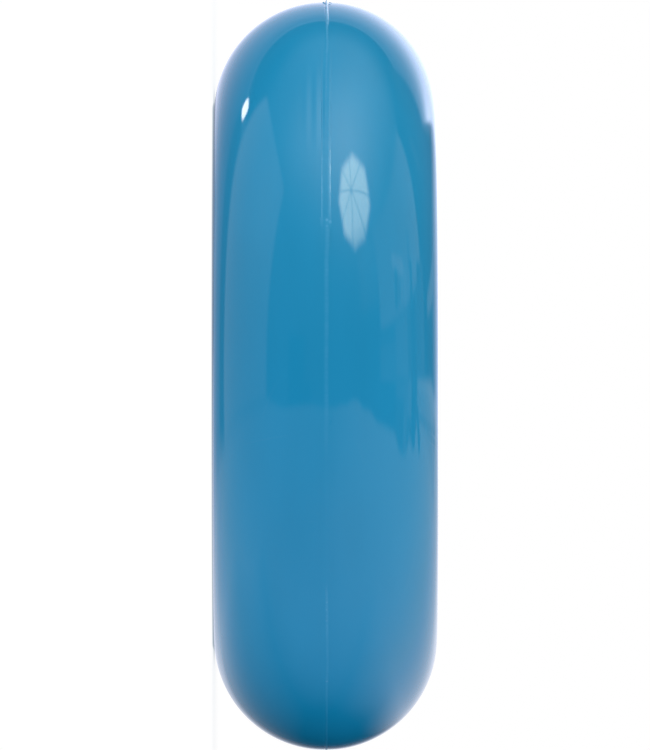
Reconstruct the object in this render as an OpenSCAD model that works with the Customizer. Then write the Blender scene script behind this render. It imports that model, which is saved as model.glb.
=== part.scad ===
// Liquid-filled street hockey puck
// A round-edged disc of glossy vinyl, moulded as two half shells that are welded together
// round the middle of the rim, filled with liquid through a port and closed with a plug.
// It lies flat: +Z is the axis of the puck, and the origin is the middle of the lower face.

/* [Puck] */
// Diameter over the rim, without the weld bead
puck_d = 76; // [66:0.5:90]
// Thickness over the two flat faces, which is also the diameter of the rim's round
puck_t = 22.6; // [19:0.2:28]
// Wall of the half shells
wall = 3; // [2.5:0.1:3.6]

/* [Weld joint] */
// Extra wall inside the rim where the two halves meet
land = 1; // [0.6:0.1:1.6]
// Height of the thickened land at its inner edge
land_h = 3.5; // [2.4:0.1:5]
// Width of the tongue that stands on the lower half
tongue_w = 1.2; // [0.8:0.1:1.6]
// Height of the tongue above the joint
tongue_h = 1.8; // [1.2:0.1:2.4]
// Chamfer on the tongue's two upper edges
tongue_chamfer = 0.3; // [0.1:0.05:0.38]
// Room that the groove leaves round the tongue for the melt
tongue_gap = 0.1; // [0.05:0.01:0.2]

/* [Weld bead] */
// Width of the bead on the rim
bead_w = 0.8; // [0.5:0.05:1.2]
// How far the trimmed bead stands proud of the rim
bead_proud = 0.12; // [0.05:0.01:0.24]
// Depth of the V that the bead fills
bead_root = 0.4; // [0.25:0.05:0.6]
// Room between the bead and the sides of its V
bead_gap = 0.03; // [0.01:0.01:0.08]

/* [Filler port] */
// Diameter of the hole that the liquid is poured through
port_d = 5; // [4:0.1:6]
// Diameter of the boss round the hole, inside the shell
boss_d = 11; // [8:0.1:14]
// Height of the boss below the inside of the face
boss_h = 2.5; // [1.5:0.1:4]
// Fillet where the boss meets the inside of the face
boss_fillet = 1; // [0.4:0.1:1.4]

/* [Filler plug] */
// Diameter of the plug's head
head_d = 9; // [7.5:0.1:12]
// Thickness of the plug's head
head_t = 1.2; // [0.8:0.1:1.6]
// How far the head lies below the face, so that the puck slides on the shell
head_sink = 0.2; // [0.1:0.05:0.4]
// Chamfer round the top of the head
head_chamfer = 0.25; // [0.1:0.05:0.4]
// Room round the head in its recess
head_gap = 0.1; // [0.05:0.01:0.2]
// Room round the stem in the port
stem_gap = 0.05; // [0.02:0.01:0.1]
// How far the barb reaches past the wall of the port
barb_proud = 0.4; // [0.2:0.05:0.6]
// Height of the barb's outer edge
barb_h = 0.4; // [0.2:0.1:0.8]
// Room between the barb and the end of the boss
barb_gap = 0.1; // [0.05:0.01:0.2]
// Length of the taper below the barb
tip_l = 1.4; // [0.8:0.1:2]
// Diameter of the end of the taper
tip_d = 3.2; // [2:0.1:4]

/* [Gate mark] */
// Diameter of the dimple that keeps the cut gate clear of the floor
gate_d = 5; // [3:0.1:8]
// Depth of the dimple
gate_depth = 0.5; // [0.4:0.05:0.8]
// Diameter of the gate's cut stub
stub_d = 1.6; // [1:0.1:2.4]
// Height of the stub inside the dimple
stub_h = 0.3; // [0.1:0.05:0.35]

/* [Liquid] */
// Height of the air space above the liquid
air_h = 1.5; // [1.2:0.1:4]
// Room between the liquid and the shell
liquid_gap = 0.3; // [0.2:0.05:0.5]

/* [Hidden] */
$fn = 180;

// How far a cut runs past what it cuts
over = 1;
rim_r = puck_d / 2;
joint_z = puck_t / 2;
// Radius of the flat faces, where the rim's round starts
face_r = rim_r - joint_z;
// Heights in the filler port and on the plug, from the face down
head_top_z = puck_t - head_sink;
seat_z = head_top_z - head_t;
ceiling_z = puck_t - wall;
boss_z = ceiling_z - boss_h;
barb_z = boss_z - barb_gap;
taper_z = barb_z - barb_h;
tip_z = taper_z - tip_l;
// Inner edge of the land, and the middle of the wall that it makes with the shell
land_r = rim_r - wall - land;
tongue_r = (rim_r + land_r) / 2;
// Half the bead's width for each unit of depth in its V
bead_slope = bead_w / 2 / bead_root;
// The bead's crown is an arc over its width
crown_r = (pow(bead_w / 2, 2) + pow(bead_proud, 2)) / (2 * bead_proud);
vinyl_blue = [0.13, 0.52, 0.71];
bead_blue = [0.25, 0.60, 0.78];
liquid_tint = [0.75, 0.88, 0.90, 0.6];

// Half section of the round-edged disc, set in by a wall all round
module disc_section(inset = 0) {
    r = joint_z - inset;
    translate([0, inset]) square([face_r, 2 * r]);
    translate([face_r, joint_z]) intersection() {
        circle(r);
        translate([0, -r]) square([r, 2 * r]);
    }
}

// Half section of the land inside the rim, with sides at 45 degrees, grown by a clearance
module land_section(grow = 0) {
    inner_r = land_r - grow;
    half_h = land_h / 2 + grow * tan(22.5);
    reach = tongue_r - inner_r;
    translate([inner_r, joint_z])
        polygon([[0, -half_h], [0, half_h], [reach, half_h + reach], [reach, -half_h - reach]]);
}

// Half section of the whole closed shell, before it is parted
module shell_section() {
    difference() {
        disc_section();
        difference() {
            disc_section(wall);
            land_section();
        }
    }
}

// Half section of the tongue, or of its groove with a gap
module tongue_section(gap = 0) {
    half_w = tongue_w / 2 + gap;
    h = tongue_h + gap;
    c = tongue_chamfer;
    translate([tongue_r, joint_z])
        polygon([[-half_w, 0], [half_w, 0], [half_w, h - c], [half_w - c, h], [c - half_w, h], [-half_w, h - c]]);
}

// Half section of the V at the outside of the joint, from its root to a radius
module bead_v(root_r, outer_r) {
    half_w = (outer_r - root_r) * bead_slope;
    translate([0, joint_z]) polygon([[root_r, 0], [outer_r, half_w], [outer_r, -half_w]]);
}

// The V that both halves leave for the bead
module bead_notch() {
    bead_v(rim_r - bead_root - bead_gap, rim_r + over);
}

// Half section of the boss round the filler port, with the fillet at its root
module boss_section() {
    boss_r = boss_d / 2;
    translate([0, boss_z]) square([boss_r, boss_h]);
    translate([boss_r, ceiling_z - boss_fillet]) difference() {
        square(boss_fillet);
        translate([boss_fillet, 0]) circle(boss_fillet);
    }
}

// Cup with a standing tongue, and a dimple where the moulding gate was cut off
module lower_half_shell() {
    color(vinyl_blue) rotate_extrude() {
        difference() {
            intersection() {
                shell_section();
                square([rim_r, joint_z]);
            }
            bead_notch();
            translate([0, -over]) square([gate_d / 2, gate_depth + over]);
        }
        tongue_section();
        translate([0, gate_depth - stub_h]) square([stub_d / 2, stub_h]);
    }
}

// Cup with a groove for the tongue, and the filler port with its boss and recess
module upper_half_shell() {
    color(vinyl_blue) rotate_extrude() {
        difference() {
            union() {
                intersection() {
                    shell_section();
                    translate([0, joint_z]) square([rim_r, joint_z]);
                }
                boss_section();
            }
            bead_notch();
            tongue_section(tongue_gap);
            translate([0, boss_z - over]) square([port_d / 2, puck_t]);
            translate([0, seat_z]) square([head_d / 2 + head_gap, puck_t]);
        }
    }
}

// Ring of melt in the V, trimmed to a low crown
module weld_bead() {
    root_r = rim_r - bead_root;
    color(bead_blue) rotate_extrude() {
        bead_v(root_r, rim_r);
        intersection() {
            bead_v(root_r, rim_r + over);
            translate([rim_r + bead_proud - crown_r, joint_z]) circle(crown_r);
        }
    }
}

// Push-in plug: a head in the recess, a stem in the port and a barb behind the boss
module filler_plug() {
    head_r = head_d / 2;
    stem_r = port_d / 2 - stem_gap;
    barb_r = port_d / 2 + barb_proud;
    color(vinyl_blue) rotate_extrude() polygon([
        [0, tip_z], [tip_d / 2, tip_z], [barb_r, taper_z], [barb_r, barb_z], [stem_r, barb_z],
        [stem_r, seat_z], [head_r, seat_z], [head_r, head_top_z - head_chamfer],
        [head_r - head_chamfer, head_top_z], [0, head_top_z]
    ]);
}

// Liquid up to the air space, clear of the walls, the land, the boss and the plug
module liquid_fill() {
    color(liquid_tint) rotate_extrude() difference() {
        disc_section(wall + liquid_gap);
        land_section(liquid_gap);
        translate([0, ceiling_z - air_h]) square([rim_r, puck_t]);
        translate([0, tip_z - liquid_gap]) square([boss_d / 2 + liquid_gap, puck_t]);
    }
}

lower_half_shell();
upper_half_shell();
weld_bead();
filler_plug();
liquid_fill();
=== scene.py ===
# %% [markdown]
# # A liquid-filled street hockey puck
# The real thing is a glossy blue vinyl disc with a fully round rim. It is moulded as two half shells,
# welded together round the middle, filled with liquid and plugged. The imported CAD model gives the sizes
# and places of all these pieces, and this lesson dresses them: finer meshes for what shows, then
# finishes, light and a camera. Everything is in metres, in the CAD model's own frame: the puck lies
# flat, with +Z along its axis.

# %% Load the frame
import math

import bmesh
import bpy
from mathutils import Matrix, Vector, noise


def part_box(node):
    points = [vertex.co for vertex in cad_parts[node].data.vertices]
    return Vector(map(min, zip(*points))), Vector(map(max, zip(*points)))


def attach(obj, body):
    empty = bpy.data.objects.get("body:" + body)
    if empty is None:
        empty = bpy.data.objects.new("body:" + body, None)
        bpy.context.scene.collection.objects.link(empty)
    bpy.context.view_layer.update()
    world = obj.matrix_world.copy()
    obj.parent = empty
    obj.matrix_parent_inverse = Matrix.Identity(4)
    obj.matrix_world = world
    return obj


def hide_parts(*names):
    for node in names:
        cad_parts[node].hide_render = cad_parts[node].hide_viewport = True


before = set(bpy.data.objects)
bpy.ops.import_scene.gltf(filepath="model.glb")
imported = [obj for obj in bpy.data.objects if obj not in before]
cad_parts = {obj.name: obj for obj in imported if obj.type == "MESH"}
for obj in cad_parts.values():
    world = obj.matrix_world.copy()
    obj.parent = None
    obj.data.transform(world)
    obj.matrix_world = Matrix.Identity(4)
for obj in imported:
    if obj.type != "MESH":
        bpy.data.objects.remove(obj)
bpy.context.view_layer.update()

# %% [markdown]
# The main sizes are read from the boxes of the CAD nodes, so that the meshes fit them with no guessing.
# The upper half starts at the joint plane, the lower half gives the rim's radius, and the round of the
# rim is as high as the joint plane. Sizes that no box shows, such as walls and gaps, are named below
# where they are first needed.

# %% Measure the frame
MM = 0.001

_, lower_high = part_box("lower_half_shell")
upper_low, upper_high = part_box("upper_half_shell")
plug_low, plug_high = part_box("filler_plug")

rim_r = lower_high.x
joint_z = upper_low.z
puck_t = upper_high.z
face_r = rim_r - joint_z
tongue_top_z = lower_high.z
print(f"rim radius {rim_r / MM:.2f} mm, thickness {puck_t / MM:.2f} mm")
print(f"flat faces {2 * face_r / MM:.2f} mm across")

# %% [markdown]
# Every rigid piece here is turned about one axis, as on a lathe. Blender has a Screw modifier for that,
# but it gives little say over where the points lie. So an outline of (radius, height) points is spun
# here by hand, with many steps: a glossy surface shows every facet in its reflections. Corners are
# softened a little first, because no moulded edge is razor sharp, and a small round is what catches the
# light.

# %% Outlines and the lathe
def arc(centre_r, centre_z, radius, start, end, step=1.5):
    """Points on an arc about (centre_r, centre_z), from one angle in degrees to another."""
    count = max(2, round(abs(end - start) / step))
    angles = [math.radians(start + (end - start) * i / count) for i in range(count + 1)]
    return [(centre_r + radius * math.cos(a), centre_z + radius * math.sin(a)) for a in angles]


def soften(points, radius, steps=4):
    """Rounds the corners of an open outline, each by the radius or as much of it as its sides allow."""
    made = [points[0]]
    for before, corner, after in zip(points, points[1:], points[2:]):
        corner = Vector(corner)
        to_before = Vector(before) - corner
        to_after = Vector(after) - corner
        reach = min(radius, to_before.length / 2, to_after.length / 2)
        start = corner + to_before.normalized() * reach
        end = corner + to_after.normalized() * reach
        for i in range(steps + 1):
            t = i / steps
            made.append(tuple(start.lerp(corner, t).lerp(corner.lerp(end, t), t)))
    return made + [points[-1]]


def finish_mesh(name, bm, sharp_angle=35):
    """Turns a bmesh into an object with smooth faces and marked sharp edges."""
    bmesh.ops.remove_doubles(bm, verts=bm.verts, dist=1e-8)
    bmesh.ops.recalc_face_normals(bm, faces=bm.faces)
    mesh = bpy.data.meshes.new(name)
    bm.to_mesh(mesh)
    bm.free()
    mesh.shade_smooth()
    mesh.set_sharp_from_angle(angle=math.radians(sharp_angle))
    piece = bpy.data.objects.new(name, mesh)
    bpy.context.scene.collection.objects.link(piece)
    return piece


def lathe(name, outline, turns):
    """Spins a closed loop of (radius, height) points into a solid, with single points on the axis."""
    bm = bmesh.new()
    angles = [2 * math.pi * i / turns for i in range(turns)]
    rings = []
    for radius, height in outline:
        if radius < 1e-7:
            rings.append([bm.verts.new((0, 0, height))])
        else:
            spots = [(radius * math.cos(a), radius * math.sin(a), height) for a in angles]
            rings.append([bm.verts.new(spot) for spot in spots])
    for ring, other in zip(rings, rings[1:] + rings[:1]):
        for i in range(turns):
            j = (i + 1) % turns
            corners = [ring[i % len(ring)], ring[j % len(ring)]]
            corners += [other[j % len(other)], other[i % len(other)]]
            corners = list(dict.fromkeys(corners))
            if len(corners) > 2:
                bm.faces.new(corners)
    return finish_mesh(name, bm)


def dress(piece, body, node):
    """Lets a piece ride on a CAD body and stand for a CAD node, which is hidden."""
    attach(piece, body)
    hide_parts(node)
    print(f"{piece.name}: {len(piece.data.vertices)} points, {len(piece.data.polygons)} faces")


print("helpers for outlines, turning and dressing are ready")

# %% [markdown]
# The two half shells meet in a tongue-and-groove joint inside a thickened land, and outside in a
# shallow V that the weld bead fills. Where a moulding is thicker it shrinks more as it cools, so the
# rim is drawn in by a hundredth of a millimetre beside the joint, and over a short stretch of the lower
# half the plastic froze in faint ripples. Both are far too small to see as a shape, but a mirror finish
# shows them as stripes along the seam. Two functions give the rim's radius at any height and the ripple
# on top of it, for the shells and the bead alike. Angles run round the rim from the side of the camera,
# positive toward the top of the picture.

# %% Rim and weld joint
SHELL_TURNS = 480
WALL = 3 * MM
LAND = 1 * MM
LAND_H = 3.5 * MM
TONGUE_W = 1.2 * MM
TONGUE_CHAMFER = 0.3 * MM
TONGUE_GAP = 0.1 * MM
V_DEPTH = 0.43 * MM
V_HALF = 0.43 * MM
SINK = 0.010 * MM
SINK_SPREAD = 1.3 * MM
RIPPLE = 0.032 * MM
RIPPLE_LENGTH = 1.07 * MM
RIPPLE_START = 0.59
RIPPLE_ANGLE = 46
RIPPLE_REACH = 12.5
EDGE_ROUND = 0.12 * MM
BEND_END = 40

land_r = rim_r - WALL - LAND
tongue_r = (rim_r + land_r) / 2
v_root = (rim_r - V_DEPTH, joint_z)


def hump(distance):
    """A smooth bell that is 1 in the middle and 0 from a distance of 1."""
    return max(0.0, 1 - distance * distance) ** 2


def rim_radius(height):
    """Radius of the outside of the rim at a height, with the sink beside the joint."""
    off_joint = height - joint_z
    round_r = face_r + math.sqrt(max(joint_z ** 2 - off_joint ** 2, 0))
    return round_r - SINK * math.exp(-(off_joint / SINK_SPREAD) ** 2)


def ripple(angle, height):
    """Height of the ripples on the lower half, at an angle in degrees and a height."""
    below = joint_z - height
    if below <= 0:
        return 0.0
    here = hump((angle - RIPPLE_ANGLE) / RIPPLE_REACH)
    here *= hump((below - RIPPLE_LENGTH) / (1.8 * RIPPLE_LENGTH))
    return RIPPLE * here * math.sin(2 * math.pi * (below / RIPPLE_LENGTH - RIPPLE_START))


def rim_outline(side):
    """The round rim from a flat face to the V: side is -1 for the lower half and 1 for the upper."""
    last = math.degrees(math.asin(V_HALF / joint_z))
    support = (face_r - EDGE_ROUND, joint_z + side * joint_z)
    bend = arc(face_r, joint_z, joint_z, side * 90, side * BEND_END, step=1.25)
    middle = arc(face_r, joint_z, joint_z, side * BEND_END, side * last, step=0.8)[1:]
    return [support] + bend + [(rim_radius(z), z) for r, z in middle]


def tongue_outline(gap):
    """The tongue, or its groove with a gap, from its outer foot over the top to its inner foot."""
    half = TONGUE_W / 2 + gap
    top = tongue_top_z + gap
    shoulder = top - TONGUE_CHAMFER
    crest = half - TONGUE_CHAMFER
    return [
        (tongue_r + half, joint_z), (tongue_r + half, shoulder), (tongue_r + crest, top),
        (tongue_r - crest, top), (tongue_r - half, shoulder), (tongue_r - half, joint_z),
    ]


def cavity_outline(side):
    """The inside from the land's edge to the flat of the cavity, on the lower (-1) or upper (1) half."""
    inner = joint_z - WALL
    slope_start = LAND_H / 2
    # The land's side climbs at 45 degrees and meets the cavity's round where both have the same radius
    reach = land_r - face_r - slope_start
    meet = (-reach + math.sqrt(2 * inner ** 2 - reach ** 2)) / 2
    first = math.degrees(math.asin(meet / inner))
    land_edge = [(land_r, joint_z), (land_r, joint_z + side * slope_start)]
    return land_edge + arc(face_r, joint_z, inner, side * first, side * 90, step=3)


print(f"land radius {land_r / MM:.2f} mm, tongue at {tongue_r / MM:.2f} mm")
print(f"V {2 * V_HALF / MM:.2f} mm wide")

# %% [markdown]
# The lower half is a cup that carries the tongue. In the middle of its face is the mark of the moulding
# gate: a small dimple with the stub of plastic that was cut off there, held clear of the floor. The
# stub is torn rather than turned, so its points are pushed about by a little noise.

# %% Lower half shell
GATE_R = 2.5 * MM
GATE_DEPTH = 0.5 * MM
STUB_R = 0.8 * MM
STUB_H = 0.3 * MM
TEAR = 0.07 * MM
TEAR_FINENESS = 2600

stub_z = GATE_DEPTH - STUB_H
gate = [
    (0, stub_z), (STUB_R / 3, stub_z), (STUB_R * 2 / 3, stub_z), (STUB_R, stub_z),
    (STUB_R, GATE_DEPTH), (GATE_R, GATE_DEPTH), (GATE_R, 0), (GATE_R + 1 * MM, 0),
]
lower_outline = soften(gate, EDGE_ROUND) + rim_outline(-1) + [v_root]
lower_outline += tongue_outline(0) + cavity_outline(-1) + [(0, WALL)]
lower_shell = lathe("lower_shell", lower_outline, SHELL_TURNS)
for vertex in lower_shell.data.vertices:
    radius = math.hypot(vertex.co.x, vertex.co.y)
    if radius < STUB_R * 1.01 and vertex.co.z < stub_z + STUB_H / 2:
        vertex.co.z += TEAR * noise.noise(vertex.co * TEAR_FINENESS)
    if abs(radius - rim_radius(vertex.co.z)) < SINK:
        angle = math.degrees(math.atan2(-vertex.co.x, -vertex.co.y))
        vertex.co.xy *= 1 + ripple(angle, vertex.co.z) / radius
dress(lower_shell, "shell", "lower_half_shell")

# %% [markdown]
# The upper half is the same cup with a groove instead of the tongue. Its face holds the filler port: a
# recess for the plug's head, a hole, and a boss inside that gives the hole its length. The outline
# never reaches the axis, so the lathe closes it as a ring.

# %% Upper half shell
PORT_R = 2.5 * MM
BOSS_R = 5.5 * MM
BOSS_H = 2.5 * MM
BOSS_FILLET = 1 * MM
HEAD_T = 1.2 * MM
HEAD_GAP = 0.1 * MM

seat_z = plug_high.z - HEAD_T
recess_r = plug_high.x + HEAD_GAP
ceiling_z = puck_t - WALL
boss_z = ceiling_z - BOSS_H

boss_root = arc(BOSS_R + BOSS_FILLET, ceiling_z - BOSS_FILLET, BOSS_FILLET, 90, 180, step=10)
port = [
    boss_root[-1], (BOSS_R, boss_z), (PORT_R, boss_z), (PORT_R, seat_z),
    (recess_r, seat_z), (recess_r, puck_t), (recess_r + 1 * MM, puck_t),
]
upper_outline = boss_root[:-1] + soften(port, EDGE_ROUND) + rim_outline(1) + [v_root]
upper_outline += tongue_outline(TONGUE_GAP) + cavity_outline(1)
upper_shell = lathe("upper_shell", upper_outline, SHELL_TURNS)
dress(upper_shell, "shell", "upper_half_shell")

# %% [markdown]
# The weld bead is the one hand-worked feature of the puck: melt squeezed out all round the joint, then
# pared off with a blade. The pared line is never even. It is a sharp crest at the top, then a cut that
# leans to one side, a pale band in front and hardly a line lower down. A bent curve with one section
# could not show that, so the bead is a ring with a section that changes along the way: a list of keys
# gives the crest's width, height and shift to the side, and how steeply the cut leans, and a second list
# places single pimples and nicks.

# %% Keys of the pared bead
# Angle in degrees, crest width and height in millimetres, slope of the cut, shift along +Z in
# millimetres, mattness, painted highlight on the crest and on the cut's two lips
pared_keys = [
    (-180, 0.50, 0.030, 0.00, 0.08, 0.40, 0.20, 0.00),
    (-150, 0.60, 0.010, 0.10, 0.05, 0.50, 0.05, 0.10),
    (-128, 0.50, 0.040, 0.00, 0.02, 0.40, 0.10, 0.00),
    (-108, 0.30, 0.040, 0.00, 0.05, 0.20, 0.20, 0.00),
    (-90, 0.30, 0.030, 0.00, 0.08, 0.20, 0.06, 0.00),
    (-70, 0.30, 0.010, 0.00, 0.08, 0.20, 0.05, 0.00),
    (-54, 0.32, 0.012, 0.00, 0.10, 0.20, 0.08, 0.00),
    (-48, 0.32, 0.010, 0.00, 0.16, 0.20, 0.07, 0.00),
    (-42, 0.34, 0.010, 0.00, 0.12, 0.20, 0.09, 0.00),
    (-36, 0.34, 0.008, 0.00, 0.11, 0.20, 0.09, 0.00),
    (-32, 0.28, 0.002, 0.00, 0.08, 0.00, 0.01, 0.00),
    (-14, 0.40, 0.002, 0.00, 0.03, 0.00, 0.01, 0.00),
    (-8, 0.50, 0.003, 0.00, 0.03, 0.10, 0.04, 0.00),
    (-3, 0.54, 0.004, 0.00, 0.03, 0.15, 0.08, 0.00),
    (10, 0.54, 0.004, 0.00, 0.06, 0.15, 0.09, 0.00),
    (17, 0.54, 0.004, 0.00, 0.06, 0.15, 0.12, 0.00),
    (22.5, 0.56, 0.005, 0.00, 0.12, 0.20, 0.12, 0.02),
    (23.8, 0.56, 0.004, 0.01, 0.06, 0.20, 0.06, 0.12),
    (25.2, 0.54, 0.000, 0.03, -0.01, 0.10, 0.00, 0.32),
    (31, 0.54, 0.000, 0.045, -0.02, 0.10, 0.00, 0.36),
    (34, 0.54, 0.000, 0.07, -0.02, 0.10, 0.00, 0.28),
    (37, 0.54, 0.000, 0.11, -0.01, 0.08, 0.00, 0.10),
    (40, 0.54, 0.000, 0.15, 0.00, 0.06, 0.00, 0.03),
    (45, 0.50, 0.000, 0.17, 0.03, 0.06, 0.01, 0.00),
    (51, 0.30, 0.003, 0.12, 0.06, 0.00, 0.06, 0.00),
    (57, 0.28, 0.006, 0.07, 0.08, 0.00, 0.08, 0.00),
    (62, 0.34, 0.016, 0.03, 0.12, 0.00, 0.14, 0.00),
    (66, 0.32, 0.026, 0.00, 0.14, 0.00, 0.28, 0.00),
    (70, 0.30, 0.050, 0.00, 0.19, 0.00, 0.57, 0.00),
    (75, 0.28, 0.090, 0.00, 0.15, 0.10, 1.00, 0.00),
    (80, 0.28, 0.120, 0.00, 0.12, 0.10, 0.80, 0.00),
    (90, 0.32, 0.180, 0.00, 0.09, 0.10, 0.50, 0.00),
    (98, 0.32, 0.110, 0.00, 0.05, 0.20, 0.40, 0.00),
    (118, 0.44, 0.050, 0.03, 0.05, 0.40, 0.10, 0.00),
    (140, 0.58, 0.010, 0.12, 0.02, 0.50, 0.05, 0.10),
    (165, 0.50, 0.040, 0.00, 0.05, 0.40, 0.10, 0.00),
    (180, 0.50, 0.030, 0.00, 0.08, 0.40, 0.20, 0.00),
]
# Angle in degrees, offset along +Z, radius and height in millimetres, painted highlight
pimples = [
    (-7.0, 0.56, 0.16, 0.030, 0.0), (-20.0, 0.05, 0.12, 0.012, 0.0), (-22.6, 0.02, 0.12, 0.010, 0.0),
    (12.0, -0.05, 0.12, 0.010, 0.05), (-36.4, 0.12, 0.17, 0.030, 0.16), (-37.8, 0.10, 0.17, 0.034, 0.16),
    (-40.0, 0.12, 0.18, 0.030, 0.20), (-53.6, 0.10, 0.20, 0.060, 0.22), (-53.2, -0.14, 0.14, -0.020, 0.0),
    (3.0, 0.10, 0.10, 0.010, 0.05), (24.1, 0.14, 0.24, 0.004, 0.36), (23.1, 0.14, 0.20, 0.003, 0.22),
    (23.8, 0.46, 0.26, 0.004, 0.32), (49.6, 0.10, 0.12, 0.004, 0.12),
    (82.5, 0.42, 0.16, 0.060, 0.0), (79.0, -0.06, 0.12, 0.040, 0.0), (86.0, -0.16, 0.20, 0.100, 0.0),
    (86.5, 0.46, 0.20, 0.060, 0.0), (84.5, 0.62, 0.16, 0.050, 0.0), (92.0, -0.10, 0.22, 0.080, 0.0),
    (83.5, -0.20, 0.14, 0.050, 0.0), (69.0, 0.26, 0.14, 0.040, 0.0), (150.0, 0.15, 0.16, 0.040, 0.1),
    (-135.0, -0.10, 0.18, 0.050, 0.1), (-100.0, 0.05, 0.14, 0.040, 0.1),
]
print("keys of the bead:", len(pared_keys), "and spots on it:", len(pimples))

# %% [markdown]
# Between two keys all values are eased, so the blade's work flows along the rim, and a little noise
# makes it uneven. The blade leaves the plastic slightly matt. The crest and the two lips beside a
# leaning cut are painted a paler blue, a painted highlight for the glints they catch. So each point
# gets three values, its height over the rim, how matt it is and how much painted highlight it has, and
# the finish reads the last two.

# %% Skin of the weld bead
BEAD_HALF = 0.75 * MM
FEATHER = 0.004 * MM
CUT_FLAT = 0.28 * MM
CUT_END = 0.60 * MM
LIP = 0.43 * MM
LIP_HALF = 0.26 * MM


def ease(t):
    """A smooth step from 0 to 1 as t goes from 0 to 1, flat at both ends."""
    t = min(1.0, max(0.0, t))
    return t * t * (3 - 2 * t)


def pared(angle):
    """The values of the keys at an angle, eased from key to key."""
    for before, after in zip(pared_keys, pared_keys[1:]):
        if before[0] <= angle <= after[0]:
            t = ease((angle - before[0]) / (after[0] - before[0]))
            return [a + (b - a) * t for a, b in zip(before[1:], after[1:])]


def bead_skin(angle, across):
    """Skin height over the rim, mattness and painted highlight, at an angle and a distance across."""
    width, height, slope, shift, worn, crest_glint, lip_glints = pared(angle)
    width *= MM
    height *= MM
    along = math.radians(angle) * rim_r
    spot = Vector((math.cos(math.radians(angle)), math.sin(math.radians(angle)), 0))
    wander = (shift + 0.03 * noise.noise(spot * 9) + 0.02 * noise.noise(spot * 60)) * MM
    uneven = 1 + 0.35 * noise.noise(spot * 90) + 0.30 * noise.noise(spot * 260)
    off = across - wander
    # The crest, with a groove on either side where the blade ran
    raised = hump(off / (width / 2)) - 0.4 * hump((off + 0.6 * width) / (0.3 * width))
    raised = height * uneven * (raised - 0.3 * hump((off - 0.6 * width) / (0.3 * width)))
    # The leaning cut drops back to the rim at both ends
    cut = 1 - ease((abs(off) - CUT_FLAT) / (CUT_END - CUT_FLAT))
    raised += slope * off * cut * (1 + 0.4 * noise.noise(spot * 110))
    lip = hump((off + LIP) / LIP_HALF) + 0.65 * hump((off - LIP) / LIP_HALF)
    # Painted highlight: the crest, the two lips and some pimples get a paler colour where they catch
    # glints
    pale = crest_glint * hump((off / width - 0.1) / 0.55) + lip_glints * lip
    for place, aside, radius, rise, spot_glint in pimples:
        reach = math.radians(place) * rim_r - along
        if abs(reach) < radius * MM:
            spot_here = hump(math.hypot(reach, across - aside * MM) / (radius * MM))
            raised += rise * MM * spot_here
            pale += spot_glint * spot_here
    raised *= hump((across / BEAD_HALF) ** 4)
    raised += FEATHER * (1 - 2 * (across / BEAD_HALF) ** 2)
    half_band = width / 2 * (1 + 0.15 * noise.noise(spot * 70))
    band = 1 - ease((abs(off) / half_band - 0.75) / 0.5)
    dotted = 1 + 0.35 * noise.noise(spot * 150) + 0.35 * noise.noise(spot * 40)
    return raised, band * worn * dotted, pale * dotted


crest_height = bead_skin(90, 0.09 * MM)[0]
print(f"the bead stands {crest_height / MM:.3f} mm proud at the top")

# %% [markdown]
# Now the ring itself: many sections round the rim, each with its foot in the V and its skin across the
# seam. The skin runs out over the shells on both sides, as weld metal does, and dips into them where it
# ends. The two values for the finish are stored on the points as named attributes, which a shader can
# read back.

# %% Weld bead
BEAD_TURNS = 2400
BEAD_STEPS = 44
BEAD_GAP = 0.03 * MM

bm = bmesh.new()
matt_layer = bm.verts.layers.float.new("pared")
painted_glint_layer = bm.verts.layers.float.new("pale")
sections = []
for i in range(BEAD_TURNS):
    angle = -180 + 360 * i / BEAD_TURNS
    radial = Vector((-math.sin(math.radians(angle)), -math.cos(math.radians(angle)), 0))
    section = [bm.verts.new(radial * (v_root[0] + BEAD_GAP) + Vector((0, 0, joint_z)))]
    for j in range(BEAD_STEPS + 1):
        across = BEAD_HALF * (2 * j / BEAD_STEPS - 1)
        raised, matt, pale = bead_skin(angle, across)
        skin = rim_radius(joint_z + across) + ripple(angle, joint_z + across) + raised
        section.append(bm.verts.new(radial * skin + Vector((0, 0, joint_z + across))))
        # Each point stores its mattness and its painted highlight
        section[-1][matt_layer] = matt
        section[-1][painted_glint_layer] = pale
    sections.append(section)
for section, other in zip(sections, sections[1:] + sections[:1]):
    for j in range(len(section)):
        k = (j + 1) % len(section)
        bm.faces.new([section[j], section[k], other[k], other[j]])
seam_bead = finish_mesh("seam_bead", bm, sharp_angle=60)
dress(seam_bead, "shell", "weld_bead")

# %% [markdown]
# The filler plug is pushed in from the face and snaps behind the boss with a barb. Its head lies a
# little below the face, so the puck slides on the shell and not on the plug. The head is slightly domed
# and carries a shallow ring from its own mould.

# %% Filler plug
PLUG_TURNS = 192
STEM_R = 2.45 * MM
BARB_R = 2.9 * MM
BARB_H = 0.4 * MM
BARB_GAP = 0.1 * MM
TIP_R = 1.6 * MM
HEAD_CHAMFER = 0.25 * MM
RING_R = 2.9 * MM
RING_DEPTH = 0.06 * MM
DISH = 0.05 * MM

head_r = plug_high.x
head_top = plug_high.z
barb_z = boss_z - BARB_GAP
plug_corners = [
    (0, plug_low.z), (TIP_R, plug_low.z), (BARB_R, barb_z - BARB_H), (BARB_R, barb_z),
    (STEM_R, barb_z), (STEM_R, seat_z), (head_r, seat_z), (head_r, head_top - HEAD_CHAMFER),
    (head_r - HEAD_CHAMFER, head_top),
    (RING_R + 0.3 * MM, head_top), (RING_R + 0.1 * MM, head_top - RING_DEPTH),
    (RING_R - 0.1 * MM, head_top - RING_DEPTH), (RING_R - 0.3 * MM, head_top),
    (RING_R / 2, head_top - DISH / 2), (0, head_top - DISH),
]
plug_piece = lathe("plug", soften(plug_corners, EDGE_ROUND), PLUG_TURNS)
dress(plug_piece, "shell", "filler_plug")

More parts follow.
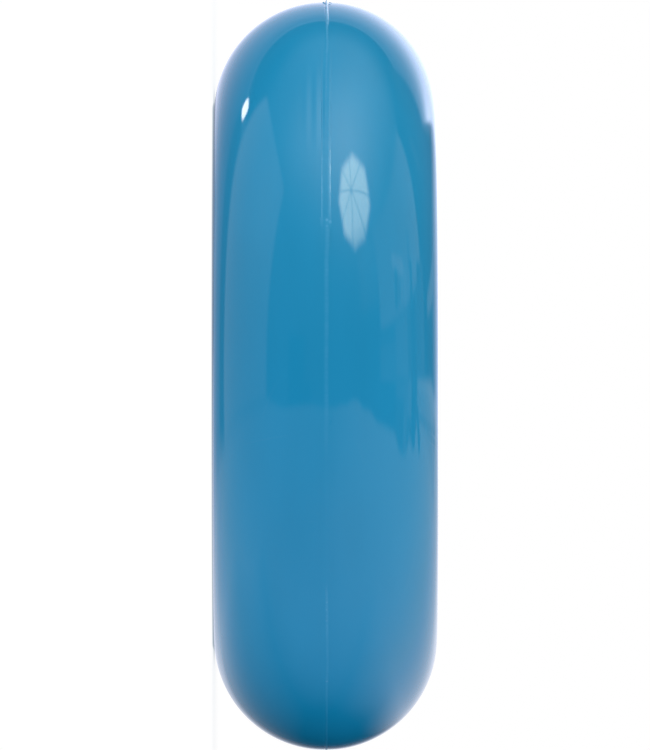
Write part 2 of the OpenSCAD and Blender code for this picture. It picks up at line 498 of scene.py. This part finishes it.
# %% [markdown]
# Finishes are built from shader nodes, and node maths is easier to read as Python sums. So an output
# socket is wrapped in a small class, and each operator adds the Math node that does the same. One
# method of the tree adds any other node: first its settings, then its sockets, which take plain values
# or wrapped outputs.

# %% Shader helpers
class Wire:
    """An output of a shader node that can be used in sums."""

    def __init__(self, shader, socket):
        self.shader = shader
        self.socket = socket

    def maths(self, operation, *values):
        return self.shader.node("Math", {"operation": operation}, dict(enumerate(values)))

    def __add__(self, other):
        return self.maths("ADD", self, other)

    def __sub__(self, other):
        return self.maths("SUBTRACT", self, other)

    def __rsub__(self, other):
        return self.maths("SUBTRACT", other, self)

    def __mul__(self, other):
        return self.maths("MULTIPLY", self, other)

    def __truediv__(self, other):
        return self.maths("DIVIDE", self, other)

    def __rtruediv__(self, other):
        return self.maths("DIVIDE", other, self)

    def __neg__(self):
        return self.maths("MULTIPLY", self, -1.0)

    def __abs__(self):
        return self.maths("ABSOLUTE", self)

    def __pow__(self, other):
        return self.maths("POWER", self, other)

    __radd__ = __add__
    __rmul__ = __mul__

    def rise(self, low, high):
        """0 up to a low value and 1 from a high one, with a smooth step between."""
        ends = {"Value": self, "From Min": low, "From Max": high}
        return self.shader.node("MapRange", {"interpolation_type": "SMOOTHSTEP"}, ends)

    def between(self, low, high, soft):
        """1 between two values and 0 outside, with soft edges."""
        return self.rise(low - soft, low + soft) * (1 - self.rise(high - soft, high + soft))


class Shader:
    """A node tree that starts empty."""

    def __init__(self, tree):
        self.tree = tree
        self.tree.nodes.clear()

    def node(self, kind, settings=None, sockets=None, out=0):
        """Adds a node of a kind, with its settings made before its sockets are filled."""
        made = self.tree.nodes.new("ShaderNode" + kind)
        for name, value in (settings or {}).items():
            setattr(made, name, value)
        free = [socket for socket in made.inputs if socket.enabled]
        for key, value in (sockets or {}).items():
            socket = free[key] if isinstance(key, int) else next(s for s in free if s.name == key)
            if isinstance(value, Wire):
                self.tree.links.new(value.socket, socket)
            else:
                socket.default_value = value
        outputs = [socket for socket in made.outputs if socket.enabled]
        chosen = outputs[out] if isinstance(out, int) else next(s for s in outputs if s.name == out)
        return Wire(self, chosen)

    def surface(self, kind, wire):
        """Adds the output node and gives it the finished shader."""
        output = self.tree.nodes.new("ShaderNode" + kind)
        self.tree.links.new(wire.socket, output.inputs["Surface"])

    def mix(self, factor, first, second):
        """A colour between two colours."""
        sockets = {"Factor": factor, "A": first, "B": second}
        return self.node("Mix", {"data_type": "RGBA"}, sockets)

    def noise(self, vector, scale, detail=2.0, roughness=0.5):
        sockets = {"Vector": vector, "Scale": scale, "Detail": detail, "Roughness": roughness}
        return self.node("TexNoise", None, sockets)

    def stretched(self, vector, turn, scale):
        """Coordinates turned about Z by an angle in degrees, then scaled along each axis."""
        sockets = {"Vector": vector, "Rotation": (0, 0, math.radians(turn)), "Scale": scale}
        return self.node("Mapping", {"vector_type": "TEXTURE"}, sockets)


print("shader helpers are ready")

# %% [markdown]
# The vinyl is a soft plastic with a hard gloss. Its blue comes from pigment that is not quite evenly
# stirred in, and its gloss is broken by three things at three sizes: the wall's slow waviness, a faint
# orange peel from the mould, and hairlines from handling, which gather on the flat faces. A few specks
# of dust and unmixed pigment sit on top. All of it is worked out from the object's own coordinates, so
# it stays in place from every side.

# %% Vinyl
def vinyl(name, deep, pale, gloss, scuffs, matt=0.0):
    """A glossy vinyl: two blues, the lowest roughness, how scuffed, and how matt a pared skin turns."""
    material = bpy.data.materials.new(name)
    material.use_nodes = True
    shader = Shader(material.node_tree)
    place = shader.node("TexCoord", None, None, "Object")
    z = shader.node("SeparateXYZ", None, {"Vector": place}, "Z")

    clouds = shader.noise(place, 38.0, 3.0, 0.55)
    streaks = shader.noise(shader.stretched(place, 0, (0.02, 0.02, 0.004)), 1.0, 3.0, 0.5)
    stir = (clouds * 0.65 + streaks * 0.35).rise(0.3, 0.7)

    cell = {"Vector": place, "Scale": 420.0}
    speck_distance = shader.node("TexVoronoi", None, cell, "Distance")
    speck_pick = shader.node("TexVoronoi", None, cell, "Color")
    picked = shader.node("SeparateColor", None, {"Color": speck_pick}, "Red").rise(0.955, 0.96)
    specks = (1 - speck_distance.rise(0.03, 0.07)) * picked

    flat_face = abs(z - joint_z).rise(joint_z * 0.9, joint_z * 0.99)
    hairlines = 0.0
    for turn in (17, 74, 131):
        lines = shader.noise(shader.stretched(place, turn, (0.03, 0.0006, 0.03)), 1.0, 2.0, 0.6)
        hairlines = lines.rise(0.66, 0.72) + hairlines
    handled = shader.noise(place, 55.0, 2.0).rise(0.45, 0.7)
    hairlines = hairlines * handled * (0.12 + 0.88 * flat_face) * scuffs

    cut_marks = shader.noise(place, 2600.0, 2.0, 0.6)
    pared_skin = shader.node("Attribute", {"attribute_name": "pared"}, None, "Fac")
    painted_glint_skin = shader.node("Attribute", {"attribute_name": "pale"}, None, "Fac")

    colour = shader.mix(stir, deep, pale)
    colour = shader.mix(specks * 0.35, colour, (0.45, 0.62, 0.70, 1))
    colour = shader.mix(hairlines * 0.10, colour, (0.35, 0.55, 0.66, 1))
    if matt:
        colour = shader.mix(pared_skin * 0.04, colour, (0.30, 0.62, 0.80, 1))
        # Painted highlight: the colour turns a paler blue on the bead's crest and lips
        colour = shader.mix(painted_glint_skin, colour, (0.155, 0.52, 0.85, 1))

    smudges = shader.noise(place, 70.0, 5.0, 0.6).rise(0.35, 0.75)
    roughness = gloss + 0.02 * smudges + 0.18 * hairlines + 0.25 * specks
    if matt:
        roughness = roughness + (matt + 0.15 * (cut_marks - 0.5)) * pared_skin

    waves = shader.noise(place, 85.0, 1.0)
    peel = shader.noise(place, 1100.0, 1.0)
    height = waves * 9e-6 + peel * 5e-7 + specks * 1.2e-5 - hairlines * 1.5e-6
    if matt:
        height = height + cut_marks * pared_skin * 6e-6
    normal = shader.node("Bump", None, {"Strength": 1.0, "Distance": 1.0, "Height": height})

    sockets = {"Base Color": colour, "Roughness": roughness, "IOR": 1.5, "Normal": normal}
    skin = shader.node("BsdfPrincipled", None, sockets)
    shader.surface("OutputMaterial", skin)
    return material


DEEP_BLUE = (0.006, 0.265, 0.518, 1)
PALE_BLUE = (0.008, 0.289, 0.564, 1)
PLUG_DEEP_BLUE = (0.005, 0.222, 0.440, 1)
PLUG_PALE_BLUE = (0.007, 0.242, 0.480, 1)

shell_vinyl = vinyl("shell_vinyl", DEEP_BLUE, PALE_BLUE, gloss=0.04, scuffs=1.0)
bead_vinyl = vinyl("bead_vinyl", DEEP_BLUE, PALE_BLUE, gloss=0.04, scuffs=0.4, matt=0.45)
plug_vinyl = vinyl("plug_vinyl", PLUG_DEEP_BLUE, PLUG_PALE_BLUE, gloss=0.18, scuffs=0.8)
for piece in (lower_shell, upper_shell):
    piece.data.materials.append(shell_vinyl)
seam_bead.data.materials.append(bead_vinyl)
plug_piece.data.materials.append(plug_vinyl)
print("vinyl finishes:", [m.name for m in (shell_vinyl, bead_vinyl, plug_vinyl)])

# %% [markdown]
# Nobody sees the liquid, but it is there and it moves, so it gets a finish of its own: clear, slightly
# blue from the dye that leaves the vinyl, a little cloudy, with a rippled top.

# %% Liquid
liquid_finish = bpy.data.materials.new("fill_liquid")
liquid_finish.use_nodes = True
shader = Shader(liquid_finish.node_tree)
place = shader.node("TexCoord", None, None, "Object")
cloudy = shader.noise(place, 60.0, 4.0, 0.6)
tint = shader.mix(cloudy.rise(0.3, 0.7), (0.72, 0.88, 0.92, 1), (0.60, 0.82, 0.90, 1))
wavelets = shader.noise(place, 160.0, 2.0)
normal = shader.node("Bump", None, {"Strength": 1.0, "Distance": 1.0, "Height": wavelets * 8e-5})
sockets = {
    "Base Color": tint, "Roughness": 0.02 + 0.06 * cloudy, "IOR": 1.34,
    "Transmission Weight": 0.9, "Normal": normal,
}
body = shader.node("BsdfPrincipled", None, sockets)
shader.surface("OutputMaterial", body)
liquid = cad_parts["liquid_fill"]
liquid.data.materials.clear()
liquid.data.materials.append(liquid_finish)
print("liquid finish:", liquid_finish.name)

# %% [markdown]
# The floor is a plain white sheet. The picture needs a white ground, so most of the sheet's brightness
# is a glow of its own, and the rest is real light, which keeps a faint shadow of the puck. In the nook
# under the round of the rim hardly any light gets in, so there the glow fades too, further out in front
# and behind than at the two sides. The sheet is hidden from the puck's own reflections, because the
# studio map that comes next already has the white surfaces that the puck mirrors, and from underneath
# it is clear, so that the lower face can be seen.

# %% Floor
FLOOR_SIZE = 60
FLOOR_DROP = 0.02 * MM
FLOOR_GLOW = 1.06
GLOW_SHARE = 0.85
NOOK_REACH = 14.3 * MM

bpy.ops.mesh.primitive_plane_add(size=FLOOR_SIZE, location=(0, 0, -FLOOR_DROP))
floor = bpy.context.object
floor.name = "floor_sheet"
floor.visible_glossy = False
floor.visible_diffuse = False
floor.visible_shadow = False
floor_finish = bpy.data.materials.new("floor_white")
floor_finish.use_nodes = True
shader = Shader(floor_finish.node_tree)
paper = shader.node("BsdfDiffuse", None, {"Color": (0.95, 0.95, 0.95, 1)})
spot = shader.node("TexCoord", None, None, "Object")
from_axis = shader.node("VectorMath", {"operation": "LENGTH"}, {0: spot}, "Value")
beside = abs(shader.node("SeparateXYZ", None, {"Vector": spot}, "X"))
# Painted shade: the floor's glow is darkened in the nook under the rim
reach = NOOK_REACH * (1 - 0.75 * beside.rise(face_r, 1.04 * face_r))
open_floor = ((from_axis - face_r) / reach).rise(0.0, 1.0)
nook = shader.mix(open_floor, (0.34, 0.40, 0.46, 1), (1, 1, 1, 1))
glow = shader.node("Emission", None, {"Color": nook, "Strength": FLOOR_GLOW})
sheet = shader.node("MixShader", None, {0: GLOW_SHARE, 1: paper, 2: glow})
underside = shader.node("NewGeometry", None, None, "Backfacing")
clear = shader.node("BsdfTransparent")
sheet = shader.node("MixShader", None, {0: underside, 1: sheet, 2: clear})
shader.surface("OutputMaterial", sheet)
floor.data.materials.append(floor_finish)
print(f"floor: {floor.name}, shaded to {NOOK_REACH / MM:.1f} mm from the flat face")

# %% [markdown]
# A glossy thing is lit by what it mirrors, so the studio is part of its look. It could be built from
# planes and lamps, each with a place, a size and a power. Here it is one map of directions on the world
# instead, drawn with the same sums as the finishes. The picture is taken with the puck on edge, so "up"
# in this studio is -X of the frame, "right" is +Z and the camera stands toward -Y. Bearings run from
# the camera, positive to the right, and elevations from the horizon, both in degrees.

# %% Directions of the studio
def toward(at_bearing, at_elevation):
    """The frame's direction for a bearing and an elevation."""
    b = math.radians(at_bearing)
    e = math.radians(at_elevation)
    return Vector((-math.sin(e), -math.cos(e) * math.cos(b), math.cos(e) * math.sin(b)))


world = bpy.data.worlds.new("studio")
world.use_nodes = True
bpy.context.scene.world = world
studio = Shader(world.node_tree)
ray = studio.node("TexCoord", None, None, "Generated")


def along(direction):
    """How far the ray goes along a direction: 1 straight along it, -1 the other way."""
    sockets = {0: ray, 1: tuple(direction)}
    return studio.node("VectorMath", {"operation": "DOT_PRODUCT"}, sockets, "Value")


def angle_from(at_bearing, at_elevation):
    """Angle between the ray and a direction, in degrees."""
    cosine = along(toward(at_bearing, at_elevation))
    return cosine.maths("ARCCOSINE", cosine) * math.degrees(1)


def fading(value):
    """1 at zero, falling ever more slowly to 0 as the value grows."""
    return studio.node("Math", {"operation": "EXPONENT"}, {0: -value})


def lobe(at_bearing, at_elevation, spread):
    """A soft round glow, 1 in the middle and about a third at the spread."""
    return fading((angle_from(at_bearing, at_elevation) / spread) ** 2.0)


def patch(left_end, right_end, low, high, soft):
    """A block of directions between two bearings and two elevations."""
    return bearing.between(left_end, right_end, soft) * elevation.between(low, high, soft)


def stroke(bearing_1, elevation_1, bearing_2, elevation_2, half_width):
    """A soft line between two directions."""
    across = bearing_2 - bearing_1
    rise = elevation_2 - elevation_1
    scale = 1 / (across * across + rise * rise)
    start = (bearing_1, elevation_1, 0)
    from_start = studio.node("VectorMath", {"operation": "SUBTRACT"}, {0: on_map, 1: start}, "Vector")
    line = (across * scale, rise * scale, 0)
    way = studio.node("VectorMath", {"operation": "DOT_PRODUCT"}, {0: from_start, 1: line}, "Value")
    way = studio.node("Clamp", None, {"Value": way})
    whole = {0: (across, rise, 0), "Scale": way}
    foot = studio.node("VectorMath", {"operation": "SCALE"}, whole, "Vector")
    distance = studio.node("VectorMath", {"operation": "DISTANCE"}, {0: from_start, 1: foot}, "Value")
    return 1 - distance.rise(0.5 * half_width, 1.5 * half_width)


def cover(level, value, mask):
    """Lays a value over a level where the mask is 1."""
    return level + (value - level) * mask


right = along((0, 0, 1))
left = along((0, 0, -1))
up = along((-1, 0, 0))
front = along((0, -1, 0))
back = along((0, 1, 0))
bearing = right.maths("ARCTAN2", right, front) * math.degrees(1)
elevation = up.maths("ARCSINE", up) * math.degrees(1)
on_map = studio.node("CombineXYZ", None, {"X": bearing, "Y": elevation})
print("directions of the studio are ready")

# %% [markdown]
# The room is dark behind the camera and lit under its ceiling by the softbox. The camera itself shows
# as a darker block. At the back stands a lit wall with a dark gap above it, and a flag shades its right
# end.

# %% Room and back wall
level = 0.21 + 0.06 * elevation.rise(0, 30)
level = level + 1.68 * lobe(46, 70.5, 25) + 0.36 * lobe(-60, 68, 18) + 0.30 * lobe(128, 62, 20)
level = level * (1 - 0.30 * patch(-38, -21, -12, 12, 2))
level = level * (1 - 0.35 * patch(-20, -15, -12, -2, 1.5))
level = level + 0.12 * patch(38, 58, 18, 35, 3)
gap = back.rise(0.2, 0.6) * elevation.rise(27, 35) * (1 - (elevation + 12 * right).rise(41, 57))
level = level * (1 - 0.68 * gap)

wall_top = up / (abs(back) + 0.001)
wall_side = right / (abs(back) + 0.001)
wall = back.rise(0.0, 0.02) * (1 - wall_top.rise(0.75, 0.795))
wall = wall * wall_side.between(-0.9, 0.8, 0.04)
wall_level = 0.073 + 1.64 * fading(angle_from(171.4, 0.8) / 21.3) + 2.2 * lobe(152.4, 5, 6)
wall_level = (wall_level + 0.55 * lobe(163.5, 12.7, 10.1)) * (1 - 0.32 * elevation.rise(28, 38))
wall_level = wall_level + 0.15 * wall_top.between(0.74, 0.77, 0.01)
level = cover(level, wall_level, wall)
from_end = 164.6 - bearing
flag_line = elevation - 4.4 - from_end * (0.49 + 0.0055 * from_end)
flag_foot = (elevation + 0.6 * bearing.rise(134, 144)).rise(-0.8, 0.2)
flag = bearing.between(118, 165, 2.5) * (1 - flag_line.rise(-0.45, 0.45)) * flag_foot
flag_level = 0.13 + 0.9 * bearing.rise(137, 165) * (1 - elevation.rise(2.8, 9))
flag_level = flag_level + 0.15 * flag_line.rise(-1.8, -0.3)
level = cover(level, flag_level, flag)
print("room and back wall are in the map")

# %% [markdown]
# A tall white panel stands on the left. The right side is busier: a pale wall with cupboards and the
# legs of stands in front of it. They are soft blocks, laid one over the other from a list.
# Last comes a low dark ledge at the left end of the back wall.

# %% Left panel and right side
left_panel = bearing.between(-127, -63, 2.5) * (1 - (up / (abs(left) + 0.001)).rise(1.23, 1.35))
panel_glow = 0.15 * bearing.rise(-105, -80) * elevation.rise(10, 40)
level = cover(level, 0.56 + 0.0016 * elevation + panel_glow, left_panel)

# Bearings, elevations, softness of the edges and brightness
side_blocks = [
    (-138.5, -128.5, -6, 27, 2.0, 0.12), (59.5, 118.5, 11, 38, 2.0, 0.66),
    (120, 146, 9, 37, 2.0, 0.16), (58, 77, 7.3, 10.5, 0.8, 0.29), (58, 77, -1.5, 7.3, 1.0, 0.38),
    (58, 77, -12, -1.5, 1.0, 0.20), (77, 94, -0.5, 10.5, 1.0, 0.49), (77, 88, -4.5, -0.5, 1.0, 0.40),
    (77, 88, -14, -4.5, 1.0, 0.27), (88, 93, -13, -0.5, 1.0, 0.44), (94, 99.5, -0.5, 11, 1.0, 0.32),
    (93, 99, -6.5, -0.5, 0.7, 0.51), (93, 99, -10, -6.5, 0.7, 0.30), (99.5, 106.5, -9, 11, 1.0, 0.22),
    (106.5, 122, -0.3, 11, 1.0, 0.28),
]
for left_end, right_end, low, high, soft, brightness in side_blocks:
    level = cover(level, brightness, patch(left_end, right_end, low, high, soft))
ledge_slope = elevation - 0.1 * (bearing + 176)
ledge = bearing.between(-179.5, -160, 1.5) * ledge_slope.between(-1.0, 1.75, 0.35)
level = cover(level, 0.30, ledge)
print("side blocks:", len(side_blocks))

# %% [markdown]
# The puck stands on a white table. Its far edge is not level all round, because other things stand on
# it, so the horizon is a sum of small steps. The table is brighter on the right and dull in front, and
# the puck shades a strip of it behind. On the flat table that strip is easy to describe by how far
# aside and how far behind a ray lands.

# %% Table
# Bearings where a step of the horizon starts and ends, and its height in degrees
horizon_steps = [
    (-176, -158, -1.5), (-155, -143, -1.2), (-142, -126, -1.3), (-66, -42, -3.5), (-12, -3, -1.0),
    (8, 16, 1.0), (20, 29, 1.7), (33, 40, -2.2), (45, 56, -2.5), (76, 84, -2.4), (88, 92, 0.9),
    (92, 97, 3.3), (105.5, 108.5, 9.4), (136, 146, -0.5),
]
horizon = -1.0
for start, end, step in horizon_steps:
    horizon = horizon + step * bearing.rise(start, end)
edge_soft = 1.6 - 1.0 * bearing.rise(100, 108)
table = 1 - (elevation - horizon).rise(-edge_soft, edge_soft)

down = up.maths("MAXIMUM", -up, 0.01)
aside = right / down
behind = back / down
left_reach = 1.3 + 1.0 * behind.rise(0.2, 1.4)
right_start = 0.5 * behind.rise(0.1, 1.4) - 0.2
left_lit = studio.node("Clamp", None, {"Value": (-aside - 0.2) / left_reach})
lit = aside.rise(right_start, 0.95) + left_lit
lit = lit.maths("MAXIMUM", lit, 1 - behind.rise(-0.35, 0.8))
lit = lit.maths("MAXIMUM", lit, behind.rise(2, 9))
lit = lit + 0.3 * (1 - lit) * behind.rise(1.5, 5) * (-aside).rise(0, 0.5)
on_right = right.maths("MAXIMUM", right, 0.0)
table_level = 0.57 + on_right * (0.28 + 0.25 * front) - 0.10 * front
table_level = table_level + 0.28 * lobe(173, 2, 11) + 0.10 * lobe(15, -48, 20)
table_level = table_level - 0.07 * lobe(138, -13, 12)
table_level = table_level + 0.07 * behind.rise(6, 10) * (-aside).rise(1, 2)
table_level = table_level * (1 - 0.2 * patch(108, 150, -5, -1.5, 1))
table_level = table_level * (1 - 0.3 * (-right).rise(0.3, 0.6) * elevation.rise(-9, -3))
level = cover(level, table_level * lit, table)
print("steps in the horizon:", len(horizon_steps))

# %% [markdown]
# Over all this come the thin things: slits of light between the cupboards, and the dark legs of a stand
# with their feet on the table. Each is a soft stroke from one direction to another.

# %% Slits and legs
# Bearing and elevation of both ends, half width and brightness
strokes = [
    (80, 23.5, 91, 19, 1.8, 1.05), (94, 17, 92.5, 13, 1.3, 0.85), (89, 15.8, 88, 14, 0.9, 0.9),
    (82, 19.6, 80.5, 14.8, 1.9, 0.36), (86, 16.8, 84.5, 14.5, 1.2, 0.46),
    (103, 21, 100.5, 17, 1.2, 0.44), (103.2, 15.5, 100.5, 10, 1.5, 0.25), (128, 26, 131, 19, 1.0, 0.24),
    (146, 4, 130, 5, 0.9, 0.42), (113, 12, 117, 10.5, 1.5, 0.24), (105.5, -1, 105.8, -4.5, 2.2, 0.22),
    (101.5, -4, 102.8, -8, 2.0, 0.16), (109, -4.6, 113.5, -7.6, 1.3, 0.17),
    (111, -4.6, 130, -3.6, 0.45, 0.42), (130, -3.6, 150, -1.9, 0.45, 0.42),
]
for bearing_1, elevation_1, bearing_2, elevation_2, half_width, brightness in strokes:
    mark = stroke(bearing_1, elevation_1, bearing_2, elevation_2, half_width)
    level = cover(level, brightness, mark)
print("strokes:", len(strokes))

# %% [markdown]
# The main lamp is an eight-sided softbox, high on the right. Its hub and ribs show through the cloth as
# thin dark lines, and because the cloth bulges, the hub is not in the middle. The other lamp is one
# small bare strip.

# %% Softbox and strip lamp
def lamp_plane(at_bearing, at_elevation, turn):
    """Two coordinates on a flat, turned lamp that faces the puck, and how far the ray faces it."""
    t = math.radians(turn)
    depth = along(toward(at_bearing, at_elevation))
    side = along(toward(at_bearing + 90, 0)) / (abs(depth) + 0.001)
    top = along(toward(at_bearing, at_elevation + 90)) / (abs(depth) + 0.001)
    lamp_u = side * math.cos(t) + top * math.sin(t)
    lamp_v = top * math.cos(t) - side * math.sin(t)
    return lamp_u, lamp_v, depth.rise(0.0, 0.1)


box_u, box_v, facing = lamp_plane(43.5, 51.05, 0.1)
lean_u = box_u - 0.04 * box_v
lean_v = box_v - 0.04 * box_u
rim = abs(lean_u)
for k in (1, 2, 3):
    turn = math.radians(45 * k)
    flat_side = abs(lean_u * math.cos(turn) + lean_v * math.sin(turn))
    rim = rim.maths("MAXIMUM", rim, flat_side)
softbox = (1 - rim.rise(0.205, 0.285)) * facing
hub_u = box_u + 0.020
hub_v = box_v - 0.066
hub_r = (hub_u * hub_u + hub_v * hub_v) ** 0.5
rib_turn = hub_u.maths("ARCTAN2", hub_v, hub_u) * 4.0 - math.radians(4 * 23)
ribs = 1 - (abs(rib_turn.maths("SINE", rib_turn)) * (hub_r + 0.01)).rise(0.0, 0.05)
hub = 1 - hub_r.rise(0.005, 0.035)
box_level = 6.2 - 1.7 * box_u + 4.2 * box_v - 1.5 * box_v.rise(-0.12, -0.24)
level = cover(level, box_level - 2.8 * ribs - 1.0 * hub, softbox)

strip_u, strip_v, facing = lamp_plane(-134.8, 29.1, 51)
strip_shape = (abs(strip_u) / 0.057) ** 1.5 + (abs(strip_v) / 0.043) ** 1.5
level = cover(level, 7.6, (1 - strip_shape.rise(0.5, 1.35)) * facing)
print("softbox and strip lamp are in the map")

# %% [markdown]
# The finished map is seen by the puck only. Rays from the camera that miss everything find plain white.
# The back wall is slightly bluer than the rest, the table in front of it half as much, and the softbox
# is a touch green.

# %% World
level = level.maths("MAXIMUM", level, 0.0)
shade = studio.mix(wall * (1 - 0.5 * table), (1, 1, 1, 1), (0.93, 0.96, 1.22, 1))
shade = studio.mix(softbox, shade, (0.98, 1.06, 0.93, 1))
tinted = studio.node("VectorMath", {"operation": "SCALE"}, {"Vector": shade, "Scale": level})
seen = studio.node("Background", None, {"Color": (1, 1, 1, 1), "Strength": 1.0})
mirrored = studio.node("Background", None, {"Color": tinted, "Strength": 1.0})
to_camera = studio.node("LightPath", None, None, "Is Camera Ray")
both = studio.node("MixShader", None, {0: to_camera, 1: mirrored, 2: seen})
studio.surface("OutputWorld", both)
print("studio:", len(studio.tree.nodes), "nodes")

# %% [markdown]
# The vinyl is slightly translucent, which evens its shading out. Three large weak lamps do the same job
# here: they fill the left side, the lower end and the top, and are hidden from reflections. The low one
# is a touch violet. Where the puck touches the table hardly any light gets in, so a dark card some way
# below it, seen by no camera and no reflection, shades the lowest part of the rim.

# %% Fill lamps
FILL_SIZE = 1.2
FILL_DISTANCE = 1.3
CARD_DROP = 22 * MM
CARD_FRONT = -34 * MM
CARD_BACK = 4 * MM
CARD_LEFT = -17 * MM
CARD_RIGHT = 8 * MM


def fill_lamp(name, at_bearing, at_elevation, power, tint=(1, 1, 1)):
    """A large weak lamp that only evens out the shading."""
    lamp = bpy.data.lights.new(name, "AREA")
    lamp.shape = "DISK"
    lamp.size = FILL_SIZE
    lamp.energy = power
    lamp.color = tint
    fill = bpy.data.objects.new(name, lamp)
    fill.location = toward(at_bearing, at_elevation) * FILL_DISTANCE
    fill.rotation_mode = "QUATERNION"
    fill.rotation_quaternion = (-fill.location).to_track_quat("-Z", "Y")
    fill.visible_glossy = False
    fill.visible_camera = False
    bpy.context.scene.collection.objects.link(fill)
    print(f"{name}: {power} W")


fill_lamp("left_fill", -74, 24, 4.9)
fill_lamp("low_fill", 4, -55, 6.0, (1, 0.94, 1.06))
fill_lamp("top_fill", 20, 85, 1.0)

# The contact card is a dark sheet that stands in for shade: it darkens the lowest part of the rim
card_mesh = bpy.data.meshes.new("contact_card")
card_x = rim_r + CARD_DROP
card_corners = [
    (card_x, CARD_FRONT, joint_z + CARD_LEFT), (card_x, CARD_BACK, joint_z + CARD_LEFT),
    (card_x, CARD_BACK, joint_z + CARD_RIGHT), (card_x, CARD_FRONT, joint_z + CARD_RIGHT),
]
card_mesh.from_pydata(card_corners, [], [(0, 1, 2, 3)])
contact_card = bpy.data.objects.new("contact_card", card_mesh)
contact_card.visible_camera = False
contact_card.visible_glossy = False
bpy.context.scene.collection.objects.link(contact_card)
card_paper = bpy.data.materials.new("card_paper")
card_paper.use_nodes = True
shader = Shader(card_paper.node_tree)
dark = shader.node("BsdfDiffuse", None, {"Color": (0.02, 0.05, 0.09, 1)})
shader.surface("OutputMaterial", dark)
card_mesh.materials.append(card_paper)
print("contact card:", round((CARD_RIGHT - CARD_LEFT) / MM, 1), "mm wide")

# %% [markdown]
# The photograph looks straight at the rim from about a metre and a half, with the puck on edge. The
# puck lies flat here, so the camera rolls by a quarter turn instead: up in the picture is -X and right
# is +Z. The lens is set so that the puck just fills the height of the picture.

# %% Camera
CAMERA_DISTANCE = 1.5
CAMERA_UP = 0.11 * MM
CAMERA_LEFT = 0.05 * MM
VIEW_HEIGHT = 76.25 * MM

camera_data = bpy.data.cameras.new("camera")
camera_data.sensor_width = 36
camera_data.lens = camera_data.sensor_width * CAMERA_DISTANCE / VIEW_HEIGHT
camera_data.clip_start = 0.1
camera_data.clip_end = 20
camera = bpy.data.objects.new("camera", camera_data)
axes = Matrix(((0, -1, 0), (0, 0, -1), (1, 0, 0))).to_4x4()
camera_spot = (-CAMERA_UP, -CAMERA_DISTANCE, joint_z - CAMERA_LEFT)
camera.matrix_world = Matrix.Translation(camera_spot) @ axes
bpy.context.scene.collection.objects.link(camera)
bpy.context.scene.camera = camera
bpy.context.scene.view_settings.view_transform = "Standard"
print(f"camera {CAMERA_DISTANCE} m away, lens {camera_data.lens:.0f} mm")
